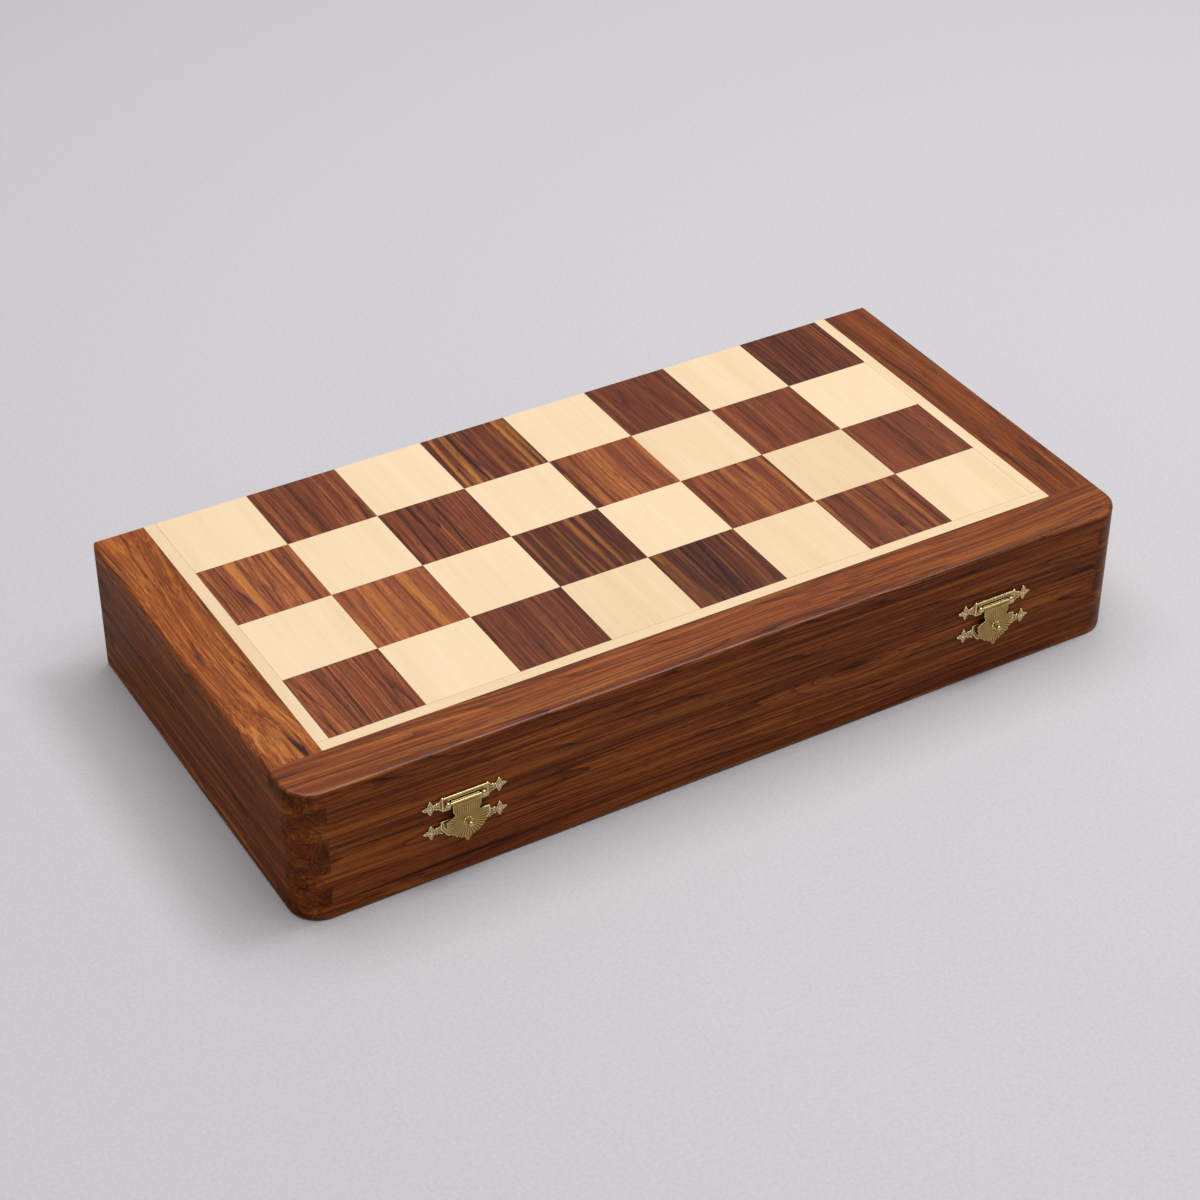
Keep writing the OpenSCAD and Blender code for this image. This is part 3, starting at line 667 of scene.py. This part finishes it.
# %% Pointed ends of the plates
PLATE_T = 0.9
NAIL_SPAN = 27.4
BUD_R = 1.6
STAR_REACH = 2.6
STAR_SHARPNESS = 1.8
NECK_HALF = 0.8
EDGE_R, TOP_EDGE_R = 0.32, 0.44
NECK_STEPS, NECK_POWER = 8, 2.4
NECK_BEAD = (0.45, 0.38, 0.5)
RAY_START, RAY_R, TIP_R = 0.9, 0.3, 0.5
ROSETTE_R, ROSETTE_EDGE_R = 1.3, 0.25


def star(centre):
    """Outline of a four-pointed star with hollow sides."""
    points = []
    for angle in np.radians(np.arange(0, 360, 6)):
        reach = BUD_R + (STAR_REACH - BUD_R) * abs(math.cos(2 * angle)) ** STAR_SHARPNESS
        points.append((centre[0] + reach * math.cos(angle), centre[1] + reach * math.sin(angle)))
    return points


def plate_end(bm, side, middle_half, shoulder, level):
    """One end of a plate at a level over the split; side is -1 or 1."""
    nail = side * NAIL_SPAN / 2
    slab(bm, star((nail, level)), 0.0, PLATE_T)
    neck = []
    for i in range(NECK_STEPS + 1):
        x = middle_half - 0.3 + (NAIL_SPAN / 2 - BUD_R - middle_half + 0.6) * i / NECK_STEPS
        fall = (1 - i / NECK_STEPS) ** NECK_POWER
        neck.append((side * x, NECK_HALF + (shoulder - NECK_HALF) * fall))
    upper = [(x, level + y) for x, y in neck]
    lower = [(x, level - y) for x, y in neck]
    slab(bm, upper + list(reversed(lower)), 0.0, PLATE_T - 0.15)
    rim(bm, upper, PLATE_T - 0.2, EDGE_R)
    rim(bm, lower, PLATE_T - 0.2, EDGE_R)
    for way in (1, -1):
        neck_edge = level + way * (NECK_HALF + 0.35)
        bead(bm, (side * (middle_half + 1.9), neck_edge, 0.7), NECK_BEAD)
    for x, y in ((side, 0), (0, 1), (0, -1)):
        tip = (nail + STAR_REACH * x, level + STAR_REACH * y, TIP_R)
        rod(bm, (nail + RAY_START * x, level + RAY_START * y, PLATE_T), tip, RAY_R)
        bead(bm, tip, (TIP_R, TIP_R, TIP_R))
    rim(bm, arc((nail, level), ROSETTE_R, 0, 360, 18), PLATE_T, ROSETTE_EDGE_R)


print("nails", NAIL_SPAN, "mm apart, stars reach", STAR_REACH, "mm from them")

# %% [markdown]
# The clasp plate's middle is a raised case with a window. The hasp's folded top turns in it
# between two balls, which hold the pin. The case is a frame of four bars, and fine rims along
# its edges catch the light. The strike plate under the hasp is a shield with a double rim.

# %% Clasp plates and strike plates
CASE_W, CASE_H, CASE_T = 18.6, 6.0, 1.2
PLATE_RISE, PIVOT_RISE, PIVOT_PROUD = 5.5, 5.3, 1.7
WINDOW_W, WINDOW_LOW, WINDOW_HIGH = 11.8, 4.0, 6.85
BALL_R, BALL_STEM_R = 1.25, 0.8
CORNER_BEAD = (0.65, 0.55, 0.75)
STRIKE_W, STRIKE_H, STRIKE_TOP, STRIKE_DROP = 19.4, 6.8, 3.1, 5.4
STRIKE_SHOULDER, STRIKE_TAPER = 0.2, 2.8
STRIKE_END_HALF, SECOND_RIM_R = 2.0, 0.22


def case_bar(bm, x0, x1, y0, y1):
    """A bar of the case with sloping sides."""
    for inset, top in ((0.0, CASE_T - 0.3), (0.3, CASE_T)):
        slab(bm, [(x0 + inset, y0 + inset), (x1 - inset, y0 + inset), (x1 - inset, y1 - inset),
                  (x0 + inset, y1 - inset)], 0.0, top)


def clasp_plate(side):
    """The plate on the lid, with its case, its balls and its ends."""
    bm = bmesh.new()
    low, high = PLATE_RISE - CASE_H / 2, PLATE_RISE + CASE_H / 2
    half, window = CASE_W / 2, WINDOW_W / 2
    case_bar(bm, -half, half, WINDOW_HIGH, high)
    case_bar(bm, -half, half, low, WINDOW_LOW)
    inner = half - EDGE_R
    rim(bm, [(-inner, high - EDGE_R), (inner, high - EDGE_R)], CASE_T - 0.1, TOP_EDGE_R)
    rim(bm, [(-window, WINDOW_HIGH + EDGE_R), (window, WINDOW_HIGH + EDGE_R)], CASE_T - 0.1, EDGE_R)
    rim(bm, [(-inner, low + EDGE_R), (inner, low + EDGE_R)], CASE_T - 0.2, EDGE_R)
    for step in (-1, 1):
        edges = sorted((step * window, step * half))
        case_bar(bm, edges[0], edges[1], low, high)
        plate_end(bm, step, half, CASE_H / 2 - 0.2, PLATE_RISE)
        rim(bm, [(step * inner, low + EDGE_R), (step * inner, high - EDGE_R)], CASE_T - 0.2, EDGE_R)
        bead(bm, (step * inner, high - 0.2, 0.8), CORNER_BEAD)
    flatten_back(bm)
    for step in (-1, 1):
        ball = (step * (window + BALL_R), PIVOT_RISE, PIVOT_PROUD)
        bead(bm, ball, (BALL_R, BALL_R, BALL_R))
        rod(bm, (ball[0], ball[1], 0.6), ball, BALL_STEM_R)
    return cast(side + "clasp_plate_cast", bm, CAST_VOXEL)


def strike_plate(side):
    """The plate on the base, a shield with a raised rim and the same ends."""
    bm = bmesh.new()
    half, foot = STRIKE_W / 2, STRIKE_TOP - STRIKE_H
    right = [(half - STRIKE_TAPER, foot), (half, 0.0), (half - STRIKE_SHOULDER, STRIKE_TOP)]
    outline = [(x, y - STRIKE_DROP) for x, y in right + [(-x, y) for x, y in reversed(right)]]
    slab(bm, outline, 0.0, PLATE_T)
    rim(bm, outline + outline[:1], PLATE_T - 0.1, EDGE_R)
    second = STRIKE_TOP - STRIKE_DROP - 0.9
    rim(bm, [(-half + 0.8, second), (half - 0.8, second)], PLATE_T - 0.05, SECOND_RIM_R)
    for step in (-1, 1):
        plate_end(bm, step, half, STRIKE_END_HALF, -STRIKE_DROP)
    flatten_back(bm)
    return cast(side + "strike_plate_cast", bm, CAST_VOXEL)


for side in ("left_", "right_"):
    for make, node, body in ((clasp_plate, "clasp_plate", "lid"),
                             (strike_plate, "strike_plate", "base")):
        piece = make(side)
        piece.data.transform(clasp_frame(side))
        dress(piece, cast_brass)
        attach(piece, body)
        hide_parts(side + node)
        print(piece.name, "faces:", len(piece.data.polygons))

# %% [markdown]
# ## The hasps
# The hasp is pressed from sheet: a tab folded back round the pin, a neck, and a shell with a
# scalloped edge, from which ribs run together at the knob. The outline is made of arcs, and the
# ribs are pressed into the skin afterwards, a few hundredths of a millimetre deep.

# %% Hasps
HASP_T, HASP_BACK, ROLL_W = 0.7, 1.9, 11.2
TAB_L, TAPER_L, NECK_W, WING_W, HASP_L = 3.6, 2.0, 9.4, 16.6, 18.4
SHELL_Y, KNOB_Y, KNOB_R, KNOB_H = -3.0, -3.9, 1.1, 3.3
WING_TOP, LOBE_R, LOBES, POINT_R = 0.9, 1.2, 5, 0.95
RIBS, RIB_DEPTH, TAB_RIB = 36, 0.13, 0.9
RIB_FREE_R, RIB_GROW = 1.6 * KNOB_R, 2.5
COLLAR_R, PETALS = 1.45, 8
PETAL_BEAD = (0.4, 0.4, 0.35)
HASP_FRONT = HASP_BACK + HASP_T
FOLD_FOOT = PIVOT_RISE - 1.6
FOLD = [(-1.0, 0.2), (-1.0, 0.9), (-0.8, 0.93), (-0.55, 0.87), (-0.33, 0.68), (0.7, -0.15),
        (0.92, -0.4), (0.85, -0.65), (0.5, -0.85), (-0.1, -0.85), (-0.6, -0.65), (-0.85, -0.2)]


def press_ribs(mesh):
    """Presses ribs into the front of the hasp, fanning out from the knob."""
    for vertex in mesh.vertices:
        x, y, z = vertex.co
        away = math.hypot(x, y - KNOB_Y)
        if abs(z - HASP_FRONT) > 0.15 or away < RIB_FREE_R or y > FOLD_FOOT:
            continue
        fan = math.cos(math.atan2(x, KNOB_Y - y) * RIBS)
        straight = math.cos(2 * math.pi * x / TAB_RIB)
        upper = min(1.0, max(0.0, (y - KNOB_Y - RIB_GROW) / RIB_GROW))
        grow = min(1.0, (away - RIB_FREE_R) / RIB_GROW)
        pressed = (fan - 1) * (1 - upper) + 0.4 * (straight - 1) * upper
        vertex.co.z += RIB_DEPTH * grow * pressed / 2


def half_outline():
    """Right edge of the hasp's flat part, from the pivot down to the wing."""
    tab, neck = PIVOT_RISE - TAB_L, PIVOT_RISE - TAB_L - TAPER_L
    return [(ROLL_W / 2, PIVOT_RISE - 0.5), (ROLL_W / 2, tab), (NECK_W / 2, neck),
            (WING_W / 2, SHELL_Y + WING_TOP), (WING_W / 2, SHELL_Y - 0.25)]


def hasp(side):
    """The swinging hasp without its knob."""
    shell_r = WING_W / 2 - LOBE_R
    shell_foot = SHELL_Y - shell_r + LOBE_R
    point_y = PIVOT_RISE - HASP_L + POINT_R
    right = half_outline()
    outlines = [right + [(-x, y) for x, y in reversed(right)],
                arc((0.0, SHELL_Y), shell_r, 180, 360, 40),
                [(-2 * LOBE_R, shell_foot), (-POINT_R, point_y), (POINT_R, point_y),
                 (2 * LOBE_R, shell_foot)],
                arc((0.0, point_y), POINT_R, 0, 345, 23)]
    for k in range(LOBES):
        down = math.radians((k + 0.5) * 90 / (LOBES + 0.5))
        for step in (-1, 1):
            centre = (step * shell_r * math.cos(down), SHELL_Y - shell_r * math.sin(down))
            outlines.append(arc(centre, LOBE_R, 0, 345, 23))
    bm = bmesh.new()
    for outline in outlines:
        slab(bm, outline, HASP_BACK, HASP_FRONT)
    fold = [(PIVOT_RISE + y, PIVOT_PROUD + z) for y, z in FOLD]
    slab(bm, fold, -ROLL_W / 2, ROLL_W / 2, ALONG_X)
    piece = cast(side + "hasp_pressed", bm, CAST_VOXEL)
    press_ribs(piece.data)
    return piece


def knob(side):
    """The knob: a collar of small petals, a waist and a round head."""
    bm = bmesh.new()
    bead(bm, (0.0, KNOB_Y, HASP_FRONT), (COLLAR_R, COLLAR_R, 0.5))
    for x, y in arc((0.0, KNOB_Y), COLLAR_R, 0, 360 - 360 / PETALS, PETALS - 1):
        bead(bm, (x, y, HASP_FRONT + 0.1), PETAL_BEAD)
    head = HASP_FRONT + KNOB_H - KNOB_R
    rod(bm, (0.0, KNOB_Y, HASP_FRONT), (0.0, KNOB_Y, head), 0.75 * KNOB_R)
    bead(bm, (0.0, KNOB_Y, head), (KNOB_R, KNOB_R, KNOB_R))
    return cast(side + "hasp_knob", bm, KNOB_VOXEL)


for side in ("left_", "right_"):
    for piece, material in ((hasp(side), brushed_brass), (knob(side), cast_brass)):
        piece.data.transform(clasp_frame(side))
        dress(piece, material)
        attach(piece, side + "hasp")
        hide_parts(side + "hasp")
        print(piece.name, "faces:", len(piece.data.polygons))

# %% [markdown]
# ## The cloth in the trays
# Each tray is lined with baize, a napped wool cloth glued to the panel. The photograph shows the
# box closed, so the usual green is taken. A sheet could be one plane, but glued cloth is never
# quite flat: it swells a little between the glue lines and its cut edge is soft. Wool fibres are
# far too fine to show, so the nap is drawn as tufts of 0.6 mm.

# %% Baize linings
NAP = 0.6
CLOTH_STEP = 3.0
SWELL, SWELL_LENGTH = 0.12, 35.0
CUT_EDGE = 0.45


def baize():
    """Green wool baize: napped, with a faint twill under the nap."""
    material, tree, shader = new_material("napped_wool_baize", Sheen_Weight=0.5, Sheen_Roughness=0.4,
                                          Roughness=0.95)
    space = board_space(tree, "X", (0.0, 0.0, 0.0))
    fluff = stretched(tree, space, NAP, NAP, 4.0, 0.7)
    patches = stretched(tree, space, 22.0, 22.0, 3.0)
    tone = weighted(tree, [(fluff, 0.9), (patches, 0.5), (1.0, -0.2)])
    ramp = add(tree, "ValToRGB", {"Fac": tone})
    set_stops(ramp, [(0.0, "#0d2b1b"), (0.5, "#1c4a31"), (1.0, "#2e6846")])
    tree.links.new(ramp, shader.inputs["Base Color"])
    bump = add(tree, "Bump", {"Strength": 0.6, "Distance": 0.15 * MM, "Height": fluff})
    tree.links.new(bump, shader.inputs["Normal"])
    return material


def lining(half, face_up, material):
    """One sheet, laid where the CAD lining lies; its free face looks into the tray."""
    low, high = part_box(half + "lining")
    width, length = high.x - low.x, high.y - low.y
    columns, rows = round(width / (CLOTH_STEP * MM)), round(length / (CLOTH_STEP * MM))
    glued, free = (low.z, high.z) if face_up else (high.z, low.z)
    way = 1 if face_up else -1
    bm = bmesh.new()
    sheets = []
    for is_free in (False, True):
        grid = []
        for j in range(rows + 1):
            for i in range(columns + 1):
                x, y = low.x + width * i / columns, low.y + length * j / rows
                z = glued
                if is_free and min(i, j, columns - i, rows - j) == 0:
                    z = free - way * CUT_EDGE * (high.z - low.z)
                elif is_free:
                    wave = noise.noise(Vector((x, y, 0.0)) / (SWELL_LENGTH * MM))
                    z = free - way * SWELL * MM * (1 - wave)
                grid.append(bm.verts.new((x, y, z)))
        sheets.append(grid)
    wide = columns + 1
    for is_free, grid in enumerate(sheets):
        for corner in range(rows * wide):
            if corner % wide == columns:
                continue
            ring = [grid[corner + k] for k in (0, 1, wide + 1, wide)]
            bm.faces.new(ring if bool(is_free) == face_up else list(reversed(ring)))
    border = list(range(wide))
    border += [j * wide + columns for j in range(1, rows + 1)]
    border += [rows * wide + i for i in range(columns - 1, -1, -1)]
    border += [j * wide for j in range(rows - 1, 0, -1)]
    for a, b in zip(border, border[1:] + border[:1]):
        bm.faces.new((sheets[0][a], sheets[0][b], sheets[1][b], sheets[1][a]))
    bmesh.ops.recalc_face_normals(bm, faces=bm.faces)
    mesh = bpy.data.meshes.new(half + "lining_cloth")
    bm.to_mesh(mesh)
    bm.free()
    mesh.shade_smooth()
    piece = bpy.data.objects.new(half + "lining_cloth", mesh)
    bpy.context.scene.collection.objects.link(piece)
    dress(piece, material)
    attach(piece, half.rstrip("_"))
    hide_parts(half + "lining")
    return width, length


cloth = baize()
for half, face_up in (("base_", True), ("lid_", False)):
    flat = lining(half, face_up, cloth)
    print(half + "lining cut to", round(flat[0] / MM, 1), "x", round(flat[1] / MM, 1), "mm")

# %% [markdown]
# ## The last step
# The dressed box is meant to keep the size of the CAD part.

# %% End
print("finished")
